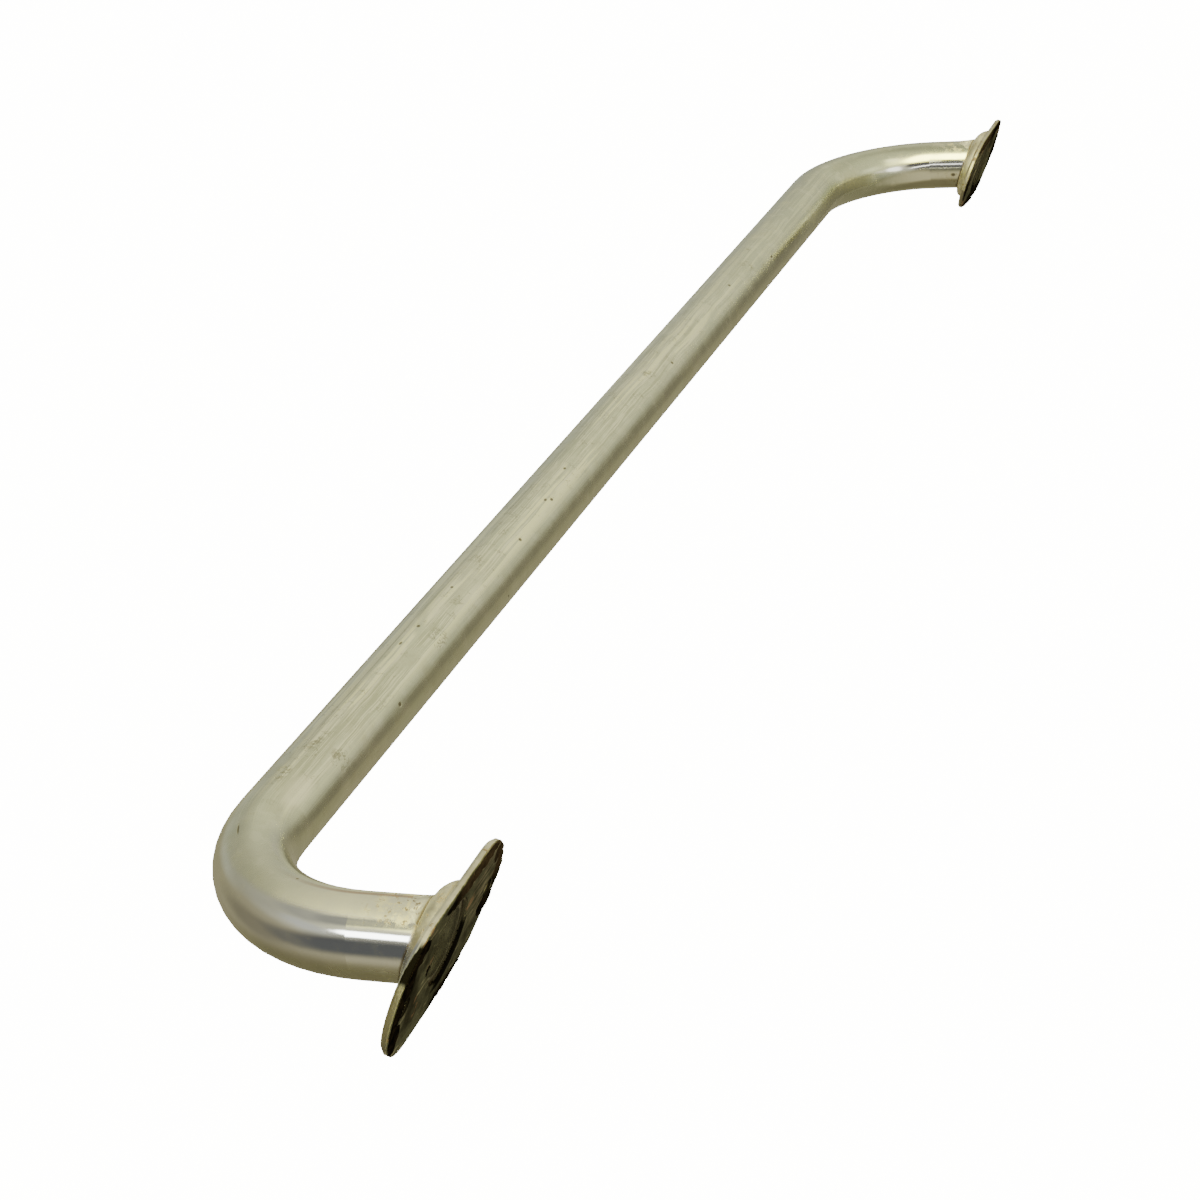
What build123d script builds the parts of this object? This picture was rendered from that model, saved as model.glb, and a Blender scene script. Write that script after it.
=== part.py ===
from build123d import *
import math
import os

# A tubular grab handle: one bent aluminium tube with a welded base plate at each foot.
# Frame: X runs along the hand bar, +Y points into the wall, +Z is up across the plates.
# The origin is in the mounting plane, midway between the two plates.
# All lengths are in millimetres and all angles in degrees.

# Tube
tube_diameter = 25.4
tube_wall = 2.5
leg_spacing = 787.4
stand_off = 75.5
lean_angle = 22.0
bend_radius = 55.5
# The legs' axes meet the wall this far above the plates' centre lines, so that the welds,
# further down the leaning legs, come out in the middle of the plates
foot_rise = 1.9
# The tube's cut ends stop this far short of the wall, inside the plates
end_recess = 1.3

# Base plates
plate_length = 81.5
plate_width = 43.0
plate_thickness = 2.5
plate_edge_break = 1.0
socket_clearance = 0.1
# The plates' centres sit this much nearer the middle of the handle than the legs
plate_inset = 0.7

# Screw holes, one near each end of each plate
screw_hole_diameter = 5.5
screw_hole_offset = 31.0
countersink_diameter = 9.5
countersink_angle = 90.0

# Two straight cuts take off each plate's lower inner corner. Each is given by the angle of
# its outward normal, down from the plate's inner end, and its distance from the centre.
first_trim_angle = 45.6
first_trim_distance = 29.7
second_trim_angle = 79.3
second_trim_distance = 20.7

# Weld laid round each foot of the tube, dressed to a convex bead
weld_size = 5.4
weld_rings = 5

# Derived sizes
tube_radius = tube_diameter / 2
bore_radius = tube_radius - tube_wall
lean = math.radians(lean_angle)
leg_direction = Vector(0, math.cos(lean), math.sin(lean))
leg_length = stand_off / math.cos(lean)
left_foot = Vector(-leg_spacing / 2, 0, foot_rise)
right_foot = Vector(leg_spacing / 2, 0, foot_rise)
left_plate_x = left_foot.X + plate_inset
# Length of leg that runs past the mounting plane before it is trimmed
trim_allowance = tube_diameter


def bent_rod(radius):
    """A round rod along the handle's whole route, with both ends past the mounting plane."""
    end_offset = leg_direction * trim_allowance
    corner_offset = leg_direction * -leg_length
    route = FilletPolyline(
        left_foot + end_offset,
        left_foot + corner_offset,
        right_foot + corner_offset,
        right_foot + end_offset,
        radius=bend_radius,
    )
    start = Plane(origin=route @ 0, z_dir=route % 0)
    return sweep(start * Circle(radius), path=route)


def behind_plane(depth):
    """Everything that lies nearer the wall than this depth in front of it."""
    reach = 2 * leg_spacing
    return Pos(0, reach / 2 - depth, 0) * Box(reach, reach, reach)


def make_tube():
    """The tube: a bored rod with its ends trimmed parallel to the wall."""
    return bent_rod(tube_radius) - bent_rod(bore_radius) - behind_plane(end_recess)


def leg_cylinder(radius):
    """A straight cylinder on the left leg's axis, past both faces of the plate."""
    start = Plane(origin=left_foot - leg_direction * 2 * tube_diameter, z_dir=leg_direction)
    return extrude(start * Circle(radius), 4 * tube_diameter)


def beyond_cut(angle, distance):
    """What lies beyond a straight cut across the lower inner corner of a plate at the origin."""
    outward = math.radians(-angle)
    normal = Vector(math.cos(outward), 0, math.sin(outward))
    cut = Plane(origin=normal * distance, z_dir=normal)
    return extrude(cut * Rectangle(2 * plate_length, 2 * plate_length), plate_length)


def make_plate():
    """The left base plate, with its leaning socket and two countersunk screw holes."""
    plate = extrude(Plane.XZ * SlotOverall(plate_length, plate_width), plate_thickness)
    plate -= beyond_cut(first_trim_angle, first_trim_distance)
    plate -= beyond_cut(second_trim_angle, second_trim_distance)
    front_rim = plate.faces().sort_by(Axis.Y)[0].edges()
    plate = chamfer(front_rim, plate_edge_break)
    front = Plane(origin=(0, -plate_thickness, 0), x_dir=(1, 0, 0), z_dir=(0, -1, 0))
    for side in (-1, 1):
        hole = CounterSinkHole(
            screw_hole_diameter / 2,
            countersink_diameter / 2,
            depth=2 * plate_thickness,
            counter_sink_angle=countersink_angle,
        )
        plate -= front * Pos(side * screw_hole_offset, 0, 0) * hole
    plate = Pos(left_plate_x, 0, 0) * plate
    return plate - leg_cylinder(tube_radius + socket_clearance)


def leg_outline(depth, margin):
    """The left leg's leaning outline at a depth in front of the wall, grown by a margin."""
    centre = left_foot - leg_direction * (depth / math.cos(lean))
    plane = Plane(origin=centre, x_dir=(1, 0, 0), z_dir=(0, -1, 0))
    return plane * Ellipse(tube_radius + margin, tube_radius / math.cos(lean) + margin)


def make_weld():
    """The left weld: rings on a quarter circle, from the plate's face up to the tube's wall."""
    rings = []
    for ring in range(weld_rings):
        climb = math.pi / 2 * ring / (weld_rings - 1)
        depth = plate_thickness + weld_size * math.sin(climb)
        rings.append(leg_outline(depth, weld_size * math.cos(climb)))
    return loft(rings, ruled=True) - leg_cylinder(tube_radius)


def write_node(name, part):
    part.label = name
    export_step(part, os.path.join("parts", name + ".step"))


os.makedirs("parts", exist_ok=True)

left_plate = make_plate()
left_weld = make_weld()

write_node("grip_tube", make_tube())
write_node("left_base_plate", left_plate)
write_node("right_base_plate", mirror(left_plate, about=Plane.YZ))
write_node("left_weld", left_weld)
write_node("right_weld", mirror(left_weld, about=Plane.YZ))
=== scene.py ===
import bpy
import math
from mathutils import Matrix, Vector


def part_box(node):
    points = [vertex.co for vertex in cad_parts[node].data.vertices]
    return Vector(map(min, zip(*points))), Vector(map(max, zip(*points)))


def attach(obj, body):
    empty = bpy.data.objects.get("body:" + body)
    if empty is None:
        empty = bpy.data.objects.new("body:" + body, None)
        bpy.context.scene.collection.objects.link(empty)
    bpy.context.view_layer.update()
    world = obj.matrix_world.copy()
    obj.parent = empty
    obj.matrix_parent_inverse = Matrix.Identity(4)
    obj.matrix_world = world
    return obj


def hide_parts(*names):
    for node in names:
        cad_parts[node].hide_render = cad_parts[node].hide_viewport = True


# A used tubular grab handle. Metres, X along the bar, +Y into the wall, +Z up.

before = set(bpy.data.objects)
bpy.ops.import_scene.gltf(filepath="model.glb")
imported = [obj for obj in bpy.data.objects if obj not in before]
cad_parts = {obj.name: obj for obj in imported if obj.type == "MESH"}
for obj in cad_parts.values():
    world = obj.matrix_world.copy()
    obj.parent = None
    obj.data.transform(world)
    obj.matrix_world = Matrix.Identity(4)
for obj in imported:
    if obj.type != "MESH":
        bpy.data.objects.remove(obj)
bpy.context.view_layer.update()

# Sizes that the frame's boxes don't give, as in the part
tube_radius = 0.0127
bend_radius = 0.0555
lean = math.radians(22.0)

# Sizes taken from the frame
tube_low, tube_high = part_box("grip_tube")
plate_low, plate_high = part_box("right_base_plate")
weld_low, weld_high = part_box("right_weld")
leg_x = tube_high.x - tube_radius
stand_off = -tube_low.y - tube_radius
leg_length = stand_off / math.cos(lean)
foot_rise = tube_low.z + tube_radius + stand_off * math.tan(lean)
plate_x = (plate_low.x + plate_high.x) / 2
plate_length = plate_high.x - plate_low.x
plate_width = plate_high.z - plate_low.z
plate_thickness = -plate_low.y
weld_size = weld_high.y - weld_low.y
# The bends' centres, sideways and outwards along the legs
bend_centre_x = leg_x - bend_radius
bend_centre_out = leg_length - bend_radius

# The plates' screw holes and trimmed corners, as in the part
screw_offset = 0.031
screw_radius = 0.00275
socket_radius = tube_radius + 0.0001
corner_cuts = [(45.6, 0.0297), (79.3, 0.0207)]

# Weld beads
weld_segments = 96
weld_steps = 9
# Each bead runs out thinly along the leg's upper side: its rings move up and shrink
runout_rise = 0.0030
runout_length = 0.011
runout_steps = 6
# The higher the power, the nearer the crown a bead starts to move up. Its rings narrow by a
# share of that rise, and the run-out's lie this far under the leg's surface.
runout_power = 8
runout_narrowing = 0.72
runout_sink = 0.0002
# How far a bead reaches into its plate and into the leg's wall
bead_in_plate = 0.0003
bead_in_leg = 0.0020
bead_lump_size = 0.006
bead_lump_height = 0.0005
same_place = 0.00001

# Old sealant on the plates' backs: sheets with holes, raised where a zone says so. A zone is a
# place from the plate's centre, outwards and up, then its half length and half height.
sealant_columns = 150
sealant_rows = 80
# A sheet starts inside the plate and comes out behind it only where it is raised
sheet_start = 0.0005
sheet_lift = 0.0008
sheet_wall = 0.0005
sheet_lump_size = 0.0022
sheet_lump_height = 0.0009
# Sheets stop this far short of the rim and the holes
sheet_inset = 0.0003
# Where a zone's edge starts and how wide it is, in half lengths
zone_reach = 1.35
zone_fade = 0.7
right_zones = [
    (-0.012, 0.0185, 0.025, 0.0032),
    (-0.037, 0.0040, 0.004, 0.0070),
    (-0.031, -0.0050, 0.007, 0.0040),
    (0.029, 0.0165, 0.008, 0.0040),
    (0.0345, 0.0095, 0.0060, 0.0065),
    (0.0375, 0.0010, 0.0045, 0.0080),
    (0.0355, -0.0100, 0.0045, 0.0070),
    (0.0163, 0.0025, 0.0014, 0.0022),
    (-0.034, 0.0125, 0.0050, 0.0040),
    (-0.012, -0.0190, 0.018, 0.0022),
]
left_zones = [
    (0.000, 0.0180, 0.034, 0.0042),
    (0.000, -0.0175, 0.034, 0.0050),
    (0.036, 0.0000, 0.006, 0.0120),
    (-0.036, -0.0040, 0.006, 0.0120),
]

# Marks that can be told apart: along the handle, degrees round it, half length and half width
single_pits = [
    (0.221, 102, 0.0010, 0.0007),
    (0.235, 98, 0.0013, 0.0005),
    (0.189, 101, 0.0009, 0.0006),
    (0.138, 137, 0.0010, 0.0008),
    (0.104, 125, 0.0012, 0.0006),
    (0.101, 133, 0.0010, 0.0007),
    (0.075, 114, 0.0011, 0.0006),
    (0.263, 162, 0.0011, 0.0008),
    (0.361, 77, 0.0034, 0.0004),
    (-0.055, 138, 0.0010, 0.0008),
    (-0.156, 123, 0.0010, 0.0008),
    (-0.215, 153, 0.0018, 0.0006),
    (-0.438, -170, 0.0013, 0.0010),
    (-0.444, -150, 0.0011, 0.0009),
]
pit_clusters = [
    (0.306, 95, 0.0060, 0.0034),
    (0.307, 146, 0.0050, 0.0040),
    (0.327, 92, 0.0060, 0.0026),
    (0.221, 140, 0.0060, 0.0040),
    (-0.186, 125, 0.0060, 0.0040),
    (-0.200, 158, 0.0040, 0.0024),
    (-0.205, 100, 0.0030, 0.0020),
    (-0.033, 116, 0.0040, 0.0030),
]
# A painted highlight: a pale glint where the right bend is flattened
painted_glint_spot = (0.333, 130, 0.011, 0.004)

# Floor and camera
floor_width = 14
floor_height = -0.45
floor_glow = 14.0
camera_lens = 74.968
camera_film = 36
camera_place = (0.93206, 0.11755, 0.44506)
camera_turn = (58.609, -13.891, 109.174)

# Sockets of the colour mixing node, which share their names with others
mix_share = 0
mix_first = 6
mix_second = 7
mix_result = 2


class Value:
    """One output of a shader node, for use in sums with numbers and other values."""

    def __init__(self, finish, socket):
        self.finish = finish
        self.socket = socket

    def __add__(self, other):
        return self.finish.math("ADD", self, other)

    def __sub__(self, other):
        return self.finish.math("SUBTRACT", self, other)

    def __rsub__(self, other):
        return self.finish.math("SUBTRACT", other, self)

    def __mul__(self, other):
        return self.finish.math("MULTIPLY", self, other)

    __radd__ = __add__
    __rmul__ = __mul__


class Finish:
    """A node tree, a material's or the world's, that is built up from expressions."""

    def __init__(self, owner):
        self.owner = owner
        owner.use_nodes = True
        self.tree = owner.node_tree

    def node(self, kind, settings=None, sockets=None, output=0):
        """A node with its settings made first, then its sockets set or linked."""
        node = self.tree.nodes.new(kind)
        for name, choice in (settings or {}).items():
            setattr(node, name, choice)
        for name, feed in (sockets or {}).items():
            self.feed(node.inputs[name], feed)
        return Value(self, node.outputs[output])

    def feed(self, socket, feed):
        if isinstance(feed, Value):
            self.tree.links.new(feed.socket, socket)
        else:
            socket.default_value = feed

    def math(self, operation, *numbers):
        return self.node("ShaderNodeMath", {"operation": operation}, dict(enumerate(numbers)))

    def size(self, number):
        """The number without its sign."""
        return self.math("ABSOLUTE", number)

    def length(self, first, second):
        """The length of a pair of coordinates."""
        return self.math("SQRT", first * first + second * second)

    def most(self, first, second):
        return self.math("MAXIMUM", first, second)

    def least(self, first, second):
        return self.math("MINIMUM", first, second)

    def ramp(self, value, low, high, start=0.0, end=1.0):
        """A smooth step from start to end while value goes from low to high."""
        return self.node(
            "ShaderNodeMapRange",
            {"interpolation_type": "SMOOTHSTEP"},
            {"Value": value, "From Min": low, "From Max": high, "To Min": start, "To Max": end},
        )

    def mix(self, share, first, second):
        """A colour that goes from the first to the second as share goes from 0 to 1."""
        settings = {"data_type": "RGBA", "clamp_factor": True}
        sockets = {mix_share: share, mix_first: first, mix_second: second}
        return self.node("ShaderNodeMix", settings, sockets, mix_result)

    def noise(self, place, scale, detail=2.0, roughness=0.5):
        sockets = {"Vector": place, "Scale": scale, "Detail": detail, "Roughness": roughness}
        return self.node("ShaderNodeTexNoise", {}, sockets)

    def cells(self, place, scale):
        """Distance to the nearest of many scattered points, in cells."""
        return self.node("ShaderNodeTexVoronoi", {}, {"Vector": place, "Scale": scale})

    def set(self, sockets):
        """Sets or links sockets of the main shader."""
        shader = self.tree.nodes["Principled BSDF"]
        for name, feed in sockets.items():
            self.feed(shader.inputs[name], feed)

    def bump(self, height, strength, distance):
        """Relief from a height of about 0 to 1, as deep as distance in metres."""
        sockets = {"Height": height, "Strength": strength, "Distance": distance}
        self.set({"Normal": self.node("ShaderNodeBump", {}, sockets)})

    def point(self, x, y, z):
        return self.node("ShaderNodeCombineXYZ", {}, {0: x, 1: y, 2: z})

    def split(self, vector):
        node = self.node("ShaderNodeSeparateXYZ", {}, {0: vector}).socket.node
        return [Value(self, output) for output in node.outputs]


def new_material(name):
    finish = Finish(bpy.data.materials.new(name))
    finish.place = finish.node("ShaderNodeTexCoord", output="Object")
    return finish


class Route:
    """Places on the handle: along it from the middle, and round it in its own plane."""

    def __init__(self, finish):
        x, y, z = finish.split(finish.place)
        outward = (y * math.cos(lean) + (z - foot_rise) * math.sin(lean)) * -1.0
        aside = finish.size(x)
        past_bend_x = finish.most(aside - bend_centre_x, 0.0)
        past_bend_out = finish.most(outward - bend_centre_out, 0.0)
        turned = finish.math("ARCTAN2", past_bend_x, past_bend_out)
        down_leg = bend_centre_out - finish.least(outward, bend_centre_out)
        on_bar = finish.least(aside, bend_centre_x)
        self.height = (z - foot_rise) * math.cos(lean) - y * math.sin(lean)
        self.outer = finish.length(past_bend_x, past_bend_out) - bend_radius
        self.along = on_bar + turned * bend_radius + down_leg
        self.signed = self.along * finish.math("SIGN", x)
        self.angle = finish.math("ARCTAN2", self.height, self.outer) * math.degrees(1.0)
        self.radius = finish.length(self.outer, self.height)
        self.right = finish.ramp(x, -0.02, 0.02)
        self.left = 1.0 - self.right


# Surroundings, floor and camera


def dress_world():
    """Soft surroundings: pale above, olive below, a dim room and soft windows in front."""
    finish = Finish(bpy.context.scene.world or bpy.data.worlds.new("surroundings"))
    bpy.context.scene.world = finish.owner
    background = finish.tree.nodes["Background"]
    x, y, z = finish.split(finish.node("ShaderNodeTexCoord", output="Generated"))
    elevation = finish.math("ARCSINE", z) * math.degrees(1.0)
    colour = finish.mix(finish.ramp(z, -0.97, -0.6), (0.2, 0.18, 0.11, 1), (0.37, 0.34, 0.22, 1))
    colour = finish.mix(finish.ramp(z, -0.16, 0.12), colour, (0.62, 0.61, 0.47, 1))
    colour = finish.mix(finish.ramp(z, 0.1, 0.6), colour, (1.12, 1.09, 0.74, 1))

    def patch(azimuth, height, half_width, half_height, soft=0.35):
        """1 inside an oval of the sky and 0 outside it. All its sizes are in degrees."""
        a = math.radians(azimuth)
        ahead = x * math.cos(a) + y * math.sin(a)
        across = y * math.cos(a) - x * math.sin(a)
        turned = finish.math("ARCTAN2", across, ahead) * (math.degrees(1.0) / half_width)
        risen = (elevation - height) * (1.0 / half_height)
        return finish.ramp(finish.length(turned, risen), 1.0 + soft, 1.0 - soft)

    # Light along the horizon behind the left end, and a duller sky high above it
    colour = finish.mix(patch(-138, -7, 34, 12) * 0.8, colour, (0.60, 0.62, 0.52, 1))
    colour = finish.mix(patch(-160, 50, 50, 14) * 0.6, colour, (0.70, 0.68, 0.48, 1))
    # The wall side's dark horizon, and the dimmer room behind the right bend
    colour = finish.mix(patch(138, -2, 40, 11, 0.45), colour, (0.235, 0.215, 0.16, 1))
    colour = finish.mix(patch(108, 2, 22, 9, 0.45), colour, (0.10, 0.092, 0.062, 1))
    colour = finish.mix(patch(108, 9, 20, 17, 0.4) * 0.8, colour, (0.12, 0.11, 0.075, 1))
    colour = finish.mix(patch(-108, 11, 36, 17, 0.4) * 0.6, colour, (0.32, 0.31, 0.23, 1))
    colour = finish.mix(patch(-120, 53, 34, 14, 0.4) * 0.5, colour, (0.45, 0.43, 0.29, 1))
    # Ground light, and the dark side of the room beyond the legs
    colour = finish.mix(patch(30, -32, 44, 26, 0.3) * 0.9, colour, (0.68, 0.63, 0.43, 1))
    colour = finish.mix(patch(-76, -32, 28, 16, 0.5) * 0.75, colour, (0.18, 0.165, 0.12, 1))
    colour = finish.mix(patch(-48, -22, 20, 14, 0.5) * 0.8, colour, (0.13, 0.13, 0.12, 1))
    colour = finish.mix(patch(-27, -9, 23, 20, 0.45), colour, (0.105, 0.108, 0.108, 1))
    colour = finish.mix(patch(-14, 24, 27, 10, 0.25), colour, (0.12, 0.12, 0.11, 1))
    colour = finish.mix(patch(-6, 3, 14, 7, 0.4) * 0.8, colour, (0.12, 0.12, 0.11, 1))
    colour = finish.mix(patch(-76, 26, 20, 10, 0.5) * 0.8, colour, (0.34, 0.34, 0.29, 1))
    # Windows and lamps
    colour = finish.mix(patch(-58, 11, 14, 6, 0.6) * 0.7, colour, (0.64, 0.66, 0.62, 1))
    colour = finish.mix(patch(-8, 12, 18, 1.6, 0.4), colour, (4.0, 4.0, 3.8, 1))
    colour = finish.mix(patch(32, 25, 11, 13, 0.4), colour, (2.6, 2.55, 2.2, 1))
    colour = finish.mix(patch(12, 66, 18, 12, 0.5) * 0.8, colour, (4.2, 4.0, 2.4, 1))
    colour = finish.mix(patch(66, 46, 18, 9, 0.5) * 0.8, colour, (2.4, 2.3, 1.6, 1))
    colour = finish.mix(patch(20, 52, 18, 10, 0.5) * 0.9, colour, (3.4, 3.3, 1.7, 1))
    colour = finish.mix(patch(-32, 45, 35, 13, 0.3), colour, (12.2, 11.8, 4.0, 1))
    colour = finish.mix(patch(-64, 36, 14, 10, 0.35) * 0.95, colour, (0.34, 0.34, 0.29, 1))
    colour = finish.mix(patch(-38, 19, 9, 5.5, 0.3), colour, (10.0, 10.3, 10.0, 1))
    finish.feed(background.inputs["Color"], colour)


def add_floor():
    bpy.ops.mesh.primitive_plane_add(size=floor_width, location=(0, 0, floor_height))
    floor = bpy.context.object
    floor.name = "floor"
    finish = new_material("pale_floor")
    finish.set({"Base Color": (0.9, 0.9, 0.9, 1), "Roughness": 0.9})
    finish.set({"Emission Color": (1, 1, 1, 1), "Emission Strength": floor_glow})
    floor.data.materials.append(finish.owner)
    floor.visible_glossy = False
    floor.visible_diffuse = False


def add_camera():
    data = bpy.data.cameras.new("camera")
    data.lens = camera_lens
    data.sensor_width = camera_film
    camera = bpy.data.objects.new("camera", data)
    camera.location = camera_place
    camera.rotation_euler = [math.radians(a) for a in camera_turn]
    bpy.context.scene.collection.objects.link(camera)
    bpy.context.scene.camera = camera


# Finishes


def tube_finish():
    """Dull greenish patina, drawn lines along the bar with painted glints, legs that are partly rubbed
    bright, a painted highlight on the right bend and painted shade along the left bend.
    """
    finish = new_material("worn_tube")
    route = Route(finish)
    place = finish.place
    ramp = finish.ramp
    y = finish.split(place)[1]

    wander = finish.noise(place, 30.0, 2.0) * 0.0016

    def lengthwise(per_metre_along, per_metre_across, detail=2.0):
        along = route.signed * per_metre_along
        across = (route.outer + wander) * per_metre_across
        up = (route.height + wander) * per_metre_across
        return finish.noise(finish.point(along, across, up), 1.0, detail)

    cloud = finish.noise(place, 14.0, 3.0)
    blotch = finish.noise(place, 60.0, 4.0, 0.6)
    freckle = finish.noise(place, 260.0, 4.0, 0.65)
    grain = finish.noise(place, 900.0, 3.0, 0.7)
    mottle = finish.noise(place, 135.0, 3.0, 0.6)
    drawn = lengthwise(8.0, 480.0, 2.0)
    fine_drawn = lengthwise(30.0, 1700.0, 2.0)
    rubbed = lengthwise(14.0, 160.0, 2.0)
    waves = finish.noise(place, 55.0, 1.0)
    dimples = finish.noise(place, 330.0, 1.0)

    # Patina: greyer green to the left, beige in the middle, browner in blotches
    grey_green = (0.51, 0.54, 0.425, 1)
    beige = (0.69, 0.72, 0.54, 1)
    pinkish = (0.73, 0.735, 0.575, 1)
    olive = (0.60, 0.59, 0.43, 1)
    colour = finish.mix(ramp(route.signed, -0.39, -0.02), grey_green, beige)
    middle = ramp(route.signed, -0.2, 0.0)
    colour = finish.mix(ramp(cloud, 0.42, 0.66) * middle * 0.8, colour, pinkish)
    colour = finish.mix(ramp(blotch, 0.50, 0.74) * 0.55, colour, olive)
    colour = finish.mix(ramp(freckle, 0.54, 0.66) * 0.4, colour, olive)
    colour = finish.mix(ramp(mottle, 0.50, 0.62) * 0.3, colour, (0.60, 0.62, 0.50, 1))
    colour = finish.mix(ramp(mottle, 0.46, 0.36) * 0.25, colour, (0.92, 0.91, 0.74, 1))
    dull = ramp(blotch, 0.35, 0.7, 0.21, 0.31) + ramp(freckle, 0.4, 0.7, 0.0, 0.05)

    # Lines drawn along the bar, strongest on its upper side and broken here and there. Their pale
    # colour is painted glints, where the real drawn lines catch the light.
    on_bar = ramp(route.along, 0.37, 0.31)
    upper = ramp(route.height, 0.0055, 0.0090) * on_bar
    upper = upper * ramp(route.signed, -0.24, -0.04, 0.25, 1.0)
    broken = ramp(lengthwise(30.0, 150.0, 2.0), 0.30, 0.44)
    painted_glint_lines = ramp(drawn, 0.535, 0.575) * broken * (upper * 0.95 + on_bar * 0.05)
    dark_lines = ramp(drawn, 0.47, 0.42) * broken * (upper * 0.5 + on_bar * 0.1)
    painted_glint_hairlines = ramp(fine_drawn, 0.51, 0.58) * broken * (upper * 0.6 + on_bar * 0.1)
    colour = finish.mix(painted_glint_lines, colour, (1.0, 1.0, 0.66, 1))
    colour = finish.mix(dark_lines, colour, (0.50, 0.52, 0.38, 1))
    colour = finish.mix(painted_glint_hairlines, colour, (0.96, 0.95, 0.73, 1))
    # Short dark cracks that wander along them
    contour = ramp(finish.size(freckle - 0.5), 0.016, 0.005) * ramp(mottle, 0.54, 0.60)
    cracks = contour * (upper * 0.75 + on_bar * 0.05)
    colour = finish.mix(cracks, colour, (0.30, 0.29, 0.20, 1))
    rough = dull - painted_glint_lines * 0.05 + cracks * 0.15

    # Paler, duller oxide on the upper sides of the legs, down to the feet
    leg = ramp(route.along, 0.385, 0.425)
    pale_top = leg * ramp(route.height, 0.0060, 0.0090) * route.right
    colour = finish.mix(pale_top * 0.8, colour, (0.98, 0.965, 0.79, 1))
    rough = rough + pale_top * 0.13
    # The left leg, smoother and paler below its top
    smooth_leg = leg * route.left * ramp(route.height, 0.0100, 0.0075)
    colour = finish.mix(smooth_leg * 0.8, colour, (0.88, 0.87, 0.69, 1))
    rough = rough - smooth_leg * 0.13

    # The right leg, rubbed bright on its outer side from the bend down
    worn_edge = route.height + (rubbed - 0.5) * 0.0022 + (grain - 0.5) * 0.0006
    right_bright = ramp(route.along, 0.345, 0.415) * route.right
    right_bright = right_bright * ramp(worn_edge, 0.0113, 0.0101) * ramp(route.height, -0.005, 0.002)
    # A narrow bright strip along the inner side of the left leg, with a small nick by the weld
    nick_place = 0.4395
    nick_half_length = 0.0034
    nick = finish.size(route.along - nick_place) * (-1.0 / nick_half_length) + 1.0
    strip_top = ramp(route.along, 0.385, 0.425, 0.0036, 0.0050) + finish.most(nick, 0.0) * 0.0017
    strip_low = ramp(route.along, 0.385, 0.425, 0.0022, 0.0009)
    worn_place = route.height + (freckle - 0.5) * 0.0007
    left_bright = ramp(strip_top - worn_place, 0.0, 0.0003) * ramp(worn_place - strip_low, 0.0, 0.0004)
    left_bright = left_bright * ramp(route.along, 0.380, 0.392) * route.left
    left_bright = left_bright * ramp(route.outer, 0.001, -0.001)
    bright = finish.most(right_bright, left_bright)
    polished = finish.mix(ramp(rubbed, 0.3, 0.7), (0.82, 0.825, 0.80, 1), (0.90, 0.90, 0.87, 1))
    colour = finish.mix(bright, colour, polished)
    rough = rough * (1.0 - bright) + bright * ramp(rubbed, 0.3, 0.8, 0.065, 0.12)

    # Painted shade: a dull, dark line along the inner side of the left bend, where the valley between
    # bar and leg is shaded
    painted_valley_shade = ramp(finish.size(finish.size(route.angle) - 174.0), 13.0, 5.0) * route.left
    painted_valley_shade = painted_valley_shade * ramp(route.along, 0.25, 0.33) * ramp(route.along, 0.392, 0.375)
    colour = finish.mix(painted_valley_shade * 0.8, colour, (0.12, 0.115, 0.08, 1))
    rough = rough + painted_valley_shade * 0.12

    # White and brown corrosion near the welds, and a dark line where each bead starts
    near_foot = ramp(route.along, 0.424, 0.440)
    crust = ramp(freckle, 0.47, 0.60)
    patch = near_foot * ramp(route.height, 0.0088, 0.0108) * crust
    colour = finish.mix(patch * 0.85, colour, (0.95, 0.90, 0.62, 1))
    speck = ramp(finish.noise(place, 430.0, 4.0, 0.65), 0.56, 0.64)
    low_left = near_foot * route.left * ramp(route.height, 0.000, -0.004)
    speck_share = near_foot * ramp(route.height, 0.008, 0.0105) * 0.8 + low_left * 0.9
    speck_share = speck_share + ramp(cloud, 0.52, 0.7) * 0.12
    speck = speck * speck_share
    colour = finish.mix(speck, colour, (0.22, 0.15, 0.08, 1))
    colour = finish.mix(low_left * ramp(blotch, 0.38, 0.6) * 0.5, colour, (0.46, 0.38, 0.24, 1))
    toe_start = -plate_thickness - weld_size
    toe = ramp(y + (freckle - 0.5) * 0.0012, toe_start - 0.0010, toe_start - 0.0002)
    toe = toe * ramp(blotch, 0.3, 0.55, 0.45, 0.95)
    colour = finish.mix(toe, colour, (0.15, 0.11, 0.06, 1))
    # A thin reddish line along the top of the right leg, where the polishing stopped
    edge_line = ramp(finish.size(route.angle - 102.0), 6.0, 2.0) * leg * route.right * 0.7
    colour = finish.mix(edge_line, colour, (0.42, 0.27, 0.20, 1))
    rough = rough + patch * 0.22 + speck * 0.2 + toe * 0.25

    # Pits: a few small ones all over, the ones that can be told apart, and a painted highlight on the
    # right bend
    chosen = ramp(finish.noise(place, 23.0, 2.0), 0.58, 0.64)
    pits = ramp(finish.cells(place, 95.0), 0.07, 0.03) * chosen
    scattered = ramp(freckle * 0.45 + grain * 0.55, 0.51, 0.56) * 0.55

    def near(along, angle, length, width):
        """1 within an oval of this half length and half width on the tube, and 0 outside it."""
        across = (route.angle - angle) * (math.pi / 180 * tube_radius / width)
        return ramp(finish.length((route.signed - along) * (1.0 / length), across), 1.2, 0.5)

    for spot in single_pits:
        pits = finish.most(pits, near(*spot))
    for spot in pit_clusters:
        pits = finish.most(pits, near(*spot) * scattered)
    # Painted highlight: the pale glint on the right bend
    colour = finish.mix(near(*painted_glint_spot) * 0.6, colour, (0.99, 0.96, 0.74, 1))
    colour = finish.mix(pits * 0.85, colour, (0.12, 0.095, 0.065, 1))
    rough = rough + pits * 0.25

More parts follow.
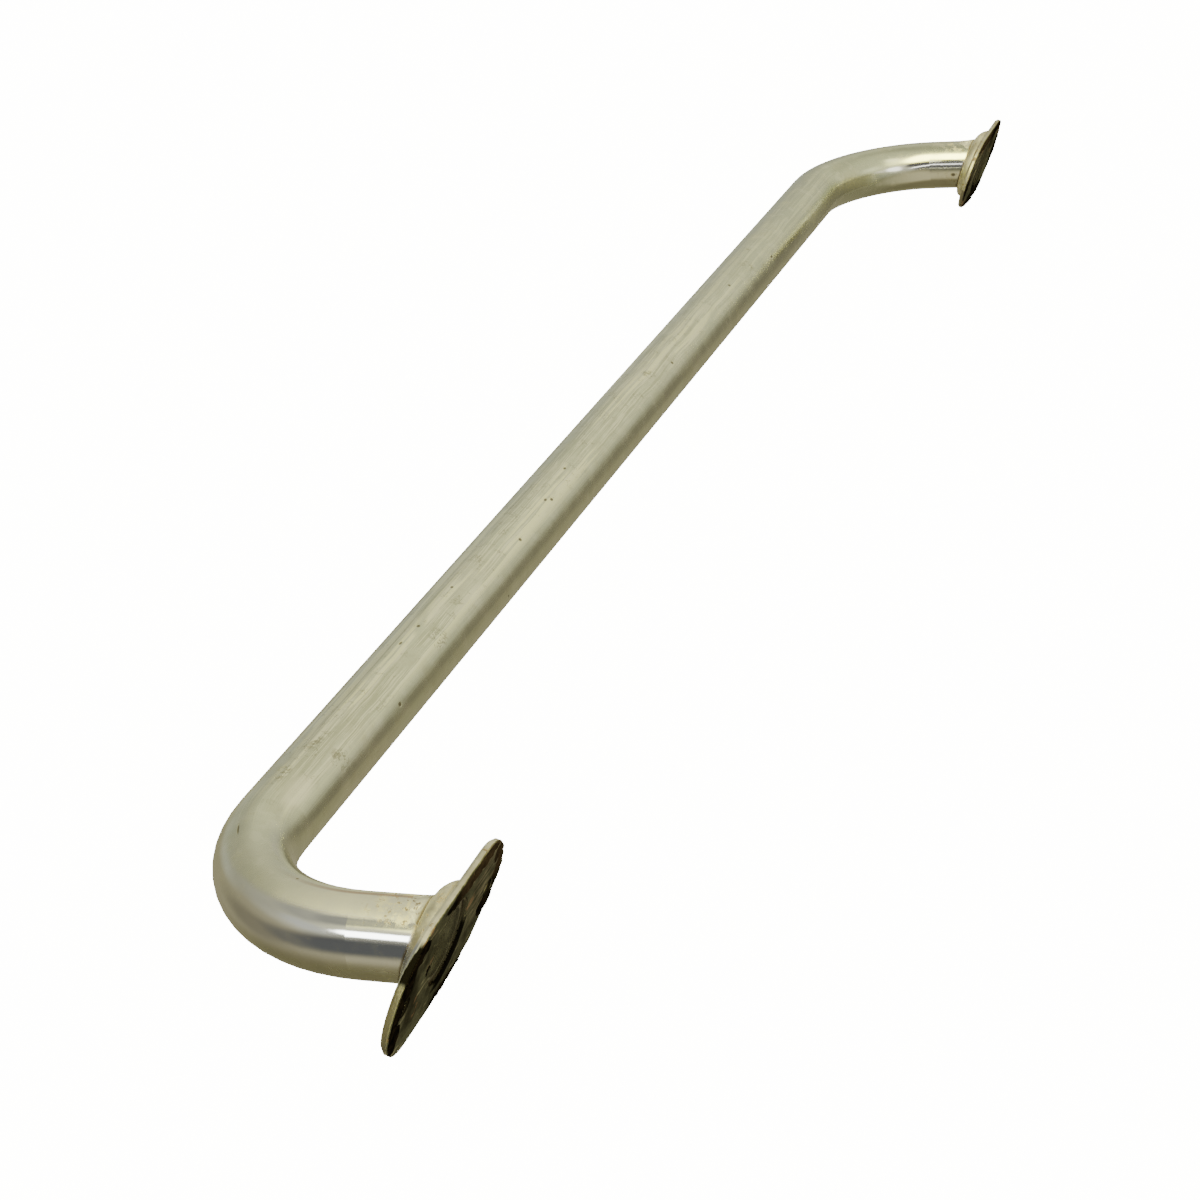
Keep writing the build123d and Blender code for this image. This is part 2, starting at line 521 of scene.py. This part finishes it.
    # The bore and the cut ends are dirty
    inside = ramp(route.radius, tube_radius - 0.0006, tube_radius - 0.0016)
    grime = finish.mix(ramp(blotch, 0.35, 0.65), (0.12, 0.115, 0.075, 1), (0.26, 0.255, 0.175, 1))
    cut_end = ramp(y, -0.0030, -0.0018) * ramp(freckle, 0.3, 0.45)
    grime = finish.mix(cut_end, grime, (0.085, 0.08, 0.052, 1))
    colour = finish.mix(inside, colour, grime)
    rough = rough * (1.0 - inside) + inside * 0.65

    relief = drawn * 0.35 * on_bar + fine_drawn * 0.08 * on_bar + waves * 0.5 + dimples * 0.06
    relief = relief - pits * 0.8 + patch * 0.1
    finish.set({"Base Color": colour, "Roughness": rough})
    # Metallic also drops under the painted shade along the left bend
    finish.set({"Metallic": 1.0 - inside * 0.8 - speck * 0.5 - painted_valley_shade * 0.85})
    finish.bump(relief, 0.35, 0.0004)
    return finish.owner


def plate_finish():
    """Base plates: oxidised cream metal in front and at the rim, a dark olive film behind."""
    finish = new_material("oxidised_plate")
    ramp = finish.ramp
    place = finish.place
    x, y, z = finish.split(place)
    along = finish.size(x) - plate_x
    from_leg = finish.size(x) - leg_x
    right = ramp(x, -0.02, 0.02)
    cloud = finish.noise(place, 70.0, 4.0, 0.6)
    grain = finish.noise(place, 650.0, 4.0, 0.7)
    streak = finish.noise(finish.point(x * 70.0, y * 300.0, z * 480.0), 1.0, 4.0, 0.65)
    brushed = finish.noise(finish.point(x * 60.0, y * 900.0, z * 2600.0), 1.0, 3.0)

    # Front face and rim
    front = finish.mix(ramp(cloud, 0.35, 0.68), (0.60, 0.575, 0.42, 1), (0.85, 0.825, 0.66, 1))
    front = finish.mix(ramp(streak, 0.5, 0.75) * 0.5, front, (0.50, 0.46, 0.31, 1))
    front = finish.mix((1.0 - right) * 0.45, front, (0.36, 0.32, 0.215, 1))
    rust = ramp(finish.noise(place, 240.0, 4.0, 0.65), 0.58, 0.68)
    front = finish.mix(rust * 0.75, front, (0.27, 0.17, 0.09, 1))
    front_rough = ramp(cloud, 0.3, 0.7, 0.34, 0.52) + rust * 0.2

    # Soil round the weld and the screw holes
    hole_away = finish.length(finish.size(along) - screw_offset, z)
    leg_away = finish.length(from_leg, z)
    soil = ramp(leg_away + (cloud - 0.5) * 0.006, 0.0215, 0.0185)
    soil = finish.most(soil, ramp(hole_away + (cloud - 0.5) * 0.003, 0.0068, 0.0048))
    front = finish.mix(soil * 0.7, front, (0.24, 0.20, 0.13, 1))
    front_rough = front_rough + soil * 0.15

    # Back face: a dark film, scraped lighter in streaks, most of all at the inner end, and
    # reddish in spots
    film = finish.mix(ramp(cloud, 0.35, 0.65), (0.036, 0.034, 0.023, 1), (0.105, 0.105, 0.072, 1))
    scraped = ramp(streak, 0.55, 0.64) * ramp(cloud, 0.42, 0.56)
    inner_end = ramp(along, -0.012, -0.020) * ramp(streak, 0.44, 0.56) * ramp(z, -0.010, -0.002)
    film = finish.mix(inner_end * 0.6, film, (0.19, 0.165, 0.12, 1))
    film = finish.mix(scraped * 0.7, film, (0.32, 0.30, 0.20, 1))
    reddish = ramp(finish.noise(place, 120.0, 3.0), 0.61, 0.68)
    film = finish.mix(reddish * 0.6, film, (0.26, 0.16, 0.10, 1))
    back = ramp(y + (grain - 0.5) * 0.0006, -0.0006, -0.0002)
    colour = finish.mix(back, front, film)
    rough = front_rough * (1.0 - back) + back * ramp(streak, 0.3, 0.7, 0.85, 0.65)

    # Walls of the screw holes, and of the socket, which is blackest low down on its inner side
    socket = ramp(leg_away, 0.0150, 0.0139)
    colour = finish.mix(socket * (1.0 - back), colour, (0.085, 0.080, 0.055, 1))
    low_side = ramp(from_leg * -0.643 - z * 0.766, 0.0050, 0.0085) * ramp(y, -0.0011, -0.0007)
    wall = finish.most(ramp(hole_away, 0.0034, 0.0029), socket * low_side)
    colour = finish.mix(wall * 0.97, colour, (0.006, 0.005, 0.004, 1))
    # The right plate's rim: bare metal on its upper outer part, duller towards its outer end,
    # with black sealant smeared over its back half
    rim = 1.0 - back
    outer_rim = right * rim * ramp(z, 0.000, 0.006)
    bare = outer_rim * ramp(along, 0.025, 0.029) * ramp(along, 0.0385, 0.0365)
    colour = finish.mix(bare, colour, (0.50, 0.515, 0.52, 1))
    outer_end = right * rim * ramp(along, 0.0355, 0.0380)
    colour = finish.mix(outer_end * 0.9, colour, (0.15, 0.14, 0.095, 1))
    smear_edge = ramp(along, 0.027, 0.037, -0.0009, -0.0021)
    smear = right * ramp(z, 0.0, 0.006) * ramp(y + (cloud - 0.5) * 0.003 - smear_edge, -0.0003, 0.0003)
    smear = smear * ramp(along, 0.026, 0.029) * ramp(along, 0.0380, 0.0365)
    colour = finish.mix(smear, colour, (0.008, 0.007, 0.005, 1))
    rough = rough * (1.0 - bare) + bare * 0.28 + smear * 0.4

    metal = (1.0 - back) * (1.0 - wall) * (1.0 - socket) * (1.0 - soil * 0.4) * (1.0 - outer_end * 0.4)
    metal = metal * (1.0 - smear)
    relief = cloud * 0.6 + grain * 0.25 + brushed * 0.12 * rim + streak * 0.5 * back - rust * 0.4
    finish.set({"Base Color": colour, "Roughness": rough, "Metallic": metal})
    finish.set({"Specular IOR Level": 0.0})
    finish.bump(relief, 0.5, 0.0006)
    return finish.owner


def weld_finish():
    """Weld beads: cream oxide over dressed metal, brown at both toes, bare on the outer right."""
    finish = new_material("dressed_weld")
    ramp = finish.ramp
    place = finish.place
    route = Route(finish)
    x, y, z = finish.split(place)
    cloud = finish.noise(place, 150.0, 4.0, 0.6)
    grain = finish.noise(place, 800.0, 3.0, 0.7)
    colour = finish.mix(ramp(cloud, 0.35, 0.65), (0.66, 0.62, 0.43, 1), (0.88, 0.845, 0.65, 1))
    rust = ramp(finish.noise(place, 330.0, 4.0, 0.65), 0.56, 0.66)
    colour = finish.mix(rust * 0.6, colour, (0.36, 0.24, 0.12, 1))
    ragged = route.radius + (grain - 0.5) * 0.0008
    tube_toe = ramp(ragged, tube_radius + 0.0014, tube_radius + 0.0006)
    crown = -plate_thickness - weld_size
    tube_toe = tube_toe * ramp(y + (cloud - 0.5) * 0.0010, crown - 0.0012, crown - 0.0004)
    plate_toe = ramp(y + (cloud - 0.5) * 0.0016, -plate_thickness - 0.0014, -plate_thickness)
    toe = finish.most(tube_toe, plate_toe * 0.7)
    colour = finish.mix(toe * 0.85, colour, (0.15, 0.105, 0.055, 1))
    # The run-out on the leg's top: pale and crusted, with brown specks
    runout = ramp(y, crown - 0.0004, crown - 0.0016)
    crust = finish.mix(ramp(cloud, 0.4, 0.6), (0.80, 0.79, 0.62, 1), (0.99, 0.97, 0.80, 1))
    speck = ramp(finish.noise(place, 430.0, 4.0, 0.65), 0.55, 0.63)
    crust = finish.mix(speck * 0.8, crust, (0.30, 0.22, 0.13, 1))
    colour = finish.mix(runout, colour, crust)
    bare = ramp(x, leg_x + 0.0095, leg_x + 0.0125) * ramp(z, 0.009, 0.005)
    colour = finish.mix(bare * (1.0 - toe), colour, (0.52, 0.53, 0.54, 1))
    rough = ramp(cloud, 0.3, 0.7, 0.36, 0.55) + rust * 0.2 + toe * 0.2
    rough = rough * (1.0 - bare) + bare * 0.27
    finish.set({"Base Color": colour, "Roughness": rough})
    finish.set({"Metallic": 1.0 - toe * 0.6 - rust * 0.4})
    finish.bump(cloud * 0.8 + grain * 0.25 - rust * 0.3, 0.5, 0.0006)
    return finish.owner


def sealant_finish():
    """Dried bedding compound: brown-black, and scuffed lighter here and there."""
    finish = new_material("dried_sealant")
    ramp = finish.ramp
    place = finish.place
    x, _, z = finish.split(place)
    cloud = finish.noise(place, 220.0, 4.0, 0.6)
    grain = finish.noise(place, 1100.0, 3.0, 0.7)
    streak = finish.noise(finish.point(x * 110.0, 0.0, z * 520.0), 1.0, 3.0)
    colour = finish.mix(ramp(cloud, 0.35, 0.7), (0.004, 0.0035, 0.003, 1), (0.018, 0.013, 0.008, 1))
    inner = ramp(finish.size(x) - plate_x, 0.008, -0.006) * ramp(z, 0.0, 0.006)
    colour = finish.mix(inner * ramp(cloud, 0.3, 0.6, 0.4, 0.9), colour, (0.060, 0.042, 0.026, 1))
    colour = finish.mix(ramp(streak, 0.60, 0.75) * 0.5, colour, (0.09, 0.065, 0.04, 1))
    finish.set({"Base Color": colour, "Roughness": ramp(cloud, 0.3, 0.7, 0.6, 0.9)})
    finish.set({"Specular IOR Level": 0.0})
    finish.bump(cloud + grain * 0.4, 0.6, 0.0006)
    return finish.owner


# New pieces


def deselect_all():
    for thing in bpy.context.selected_objects:
        thing.select_set(False)


def keep_piece(name, slot):
    """The piece just modelled, with its place in its mesh, on the handle's body."""
    piece = bpy.context.object
    piece.name = name
    bpy.ops.object.transform_apply(location=True, rotation=True, scale=True)
    piece.data.materials.append(finishes[slot])
    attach(piece, "root")
    return piece


def apply_lumps(piece, name, grain_size, strength):
    """Raises and sinks the surface a little, by a cloud pattern, along its normals."""
    pattern = bpy.data.textures.new(name, "CLOUDS")
    pattern.noise_scale = grain_size
    pattern.noise_depth = 2
    lumps = piece.modifiers.new(name, "DISPLACE")
    lumps.texture = pattern
    lumps.texture_coords = "LOCAL"
    lumps.strength = strength
    lumps.mid_level = 0.5
    bpy.ops.object.modifier_apply(modifier=name)


def weld_ring(side, depth, margin, lift):
    """Centre, half width and half height of a bead's outline at a depth before the wall."""
    centre = Vector((side * leg_x, -depth, foot_rise - depth * math.tan(lean) + lift))
    return centre, tube_radius + margin, tube_radius / math.cos(lean) + margin


def add_weld(name, side):
    """A convex bead: rings up its face, a thin run-out along the leg's top, and back inside."""
    start = plate_thickness - bead_in_plate
    profile = [(start, weld_size, 0)]
    for step in range(weld_steps + 1):
        climb = math.pi / 2 * step / weld_steps
        depth = plate_thickness + weld_size * math.sin(climb)
        rise = runout_rise * (step / weld_steps) ** runout_power
        profile.append((depth, weld_size * math.cos(climb) - rise * runout_narrowing, rise))
    for step in range(1, runout_steps + 1):
        share = 1 - step / runout_steps
        depth = plate_thickness + weld_size + runout_length * step / runout_steps
        rise = runout_rise * share * share
        profile.append((depth, -runout_sink - rise * runout_narrowing, rise))
    profile.append((depth, -bead_in_leg, 0))
    profile.append((start, -bead_in_leg, 0))
    profile.append((start, weld_size, 0))
    deselect_all()
    centre, width, height = weld_ring(side, *profile[0])
    turned = (math.pi / 2, 0, 0)
    bpy.ops.mesh.primitive_circle_add(
        vertices=weld_segments, radius=1, location=centre, rotation=turned
    )
    bpy.ops.object.mode_set(mode="EDIT")
    bpy.ops.mesh.select_all(action="SELECT")
    bpy.ops.transform.resize(value=(width, 1, height), center_override=centre)
    for ring in profile[1:]:
        new_centre, new_width, new_height = weld_ring(side, *ring)
        bpy.ops.mesh.extrude_edges_move()
        stretch = (new_width / width, 1, new_height / height)
        bpy.ops.transform.resize(value=stretch, center_override=centre)
        bpy.ops.transform.translate(value=new_centre - centre)
        centre, width, height = new_centre, new_width, new_height
    bpy.ops.mesh.select_all(action="SELECT")
    bpy.ops.mesh.remove_doubles(threshold=same_place)
    bpy.ops.mesh.normals_make_consistent(inside=False)
    bpy.ops.object.mode_set(mode="OBJECT")
    bead = keep_piece(name + "_bead", "weld_metal")
    apply_lumps(bead, name + "_lumps", bead_lump_size, bead_lump_height)
    bpy.ops.object.shade_smooth()
    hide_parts(name)


def off_plate(outward, up):
    """Whether a place on a plate's back, from the plate's centre, is past its rim or in a hole."""
    end = plate_width / 2 - sheet_inset
    past_end = max(abs(outward) - (plate_length - plate_width) / 2, 0)
    off = math.hypot(past_end, up) > end
    for angle, distance in corner_cuts:
        turn = math.radians(180 + angle)
        off = off or outward * math.cos(turn) + up * math.sin(turn) > distance - sheet_inset
    for hole in (-screw_offset, screw_offset):
        off = off or math.hypot(outward - hole, up) < screw_radius + sheet_inset
    across = outward + plate_x - leg_x
    socket_up = (up - foot_rise) * math.cos(lean)
    return off or math.hypot(across, socket_up) < socket_radius + sheet_inset


def zone_share(zones, outward, up):
    """1 well inside any zone, falling smoothly to 0 outside them all."""
    share = 0.0
    for middle, rise, half_length, half_height in zones:
        away = math.hypot((outward - middle) / half_length, (up - rise) / half_height)
        inside = min(max((zone_reach - away) / zone_fade, 0.0), 1.0)
        share = max(share, inside * inside * (3 - 2 * inside))
    return share


def add_sealant(name, side, zones):
    """A ragged crust on a plate's back: a sheet that stands proud of the plate in its zones."""
    deselect_all()
    bpy.ops.mesh.primitive_grid_add(
        x_subdivisions=sealant_columns,
        y_subdivisions=sealant_rows,
        size=1,
        location=(side * plate_x, -sheet_start, 0),
        rotation=(-math.pi / 2, 0, 0),
    )
    bpy.context.object.scale = (plate_length, plate_width, 1)
    crust = keep_piece(name, "old_sealant")
    bpy.ops.object.mode_set(mode="EDIT")
    bpy.ops.mesh.select_mode(type="FACE")
    bpy.ops.mesh.select_all(action="DESELECT")
    bpy.ops.object.mode_set(mode="OBJECT")
    for face in crust.data.polygons:
        outward = side * face.center.x - plate_x
        face.select = off_plate(outward, face.center.z)
    bpy.ops.object.mode_set(mode="EDIT")
    bpy.ops.mesh.delete(type="FACE")
    bpy.ops.object.mode_set(mode="OBJECT")
    raised = crust.vertex_groups.new(name="raised")
    for vertex in crust.data.vertices:
        share = zone_share(zones, side * vertex.co.x - plate_x, vertex.co.z)
        raised.add([vertex.index], share, "REPLACE")
    lift = crust.modifiers.new("lift", "DISPLACE")
    lift.direction = "Y"
    lift.mid_level = 0.0
    lift.strength = sheet_lift
    lift.vertex_group = "raised"
    bpy.ops.object.modifier_apply(modifier="lift")
    apply_lumps(crust, name + "_lumps", sheet_lump_size, sheet_lump_height)
    wall = crust.modifiers.new("wall", "SOLIDIFY")
    wall.thickness = sheet_wall
    wall.offset = -1.0
    bpy.ops.object.modifier_apply(modifier="wall")


add_camera()
dress_world()
add_floor()
finishes = {
    "polished_tube": tube_finish(),
    "base_plate": plate_finish(),
    "weld_metal": weld_finish(),
    "old_sealant": sealant_finish(),
}
slot_of = {
    "grip_tube": "polished_tube",
    "left_base_plate": "base_plate",
    "right_base_plate": "base_plate",
    "left_weld": "weld_metal",
    "right_weld": "weld_metal",
}
for name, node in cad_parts.items():
    for slot in node.material_slots:
        slot.material = finishes[slot_of[name]]
add_weld("left_weld", -1)
add_weld("right_weld", 1)
add_sealant("left_sealant", -1, left_zones)
add_sealant("right_sealant", 1, right_zones)
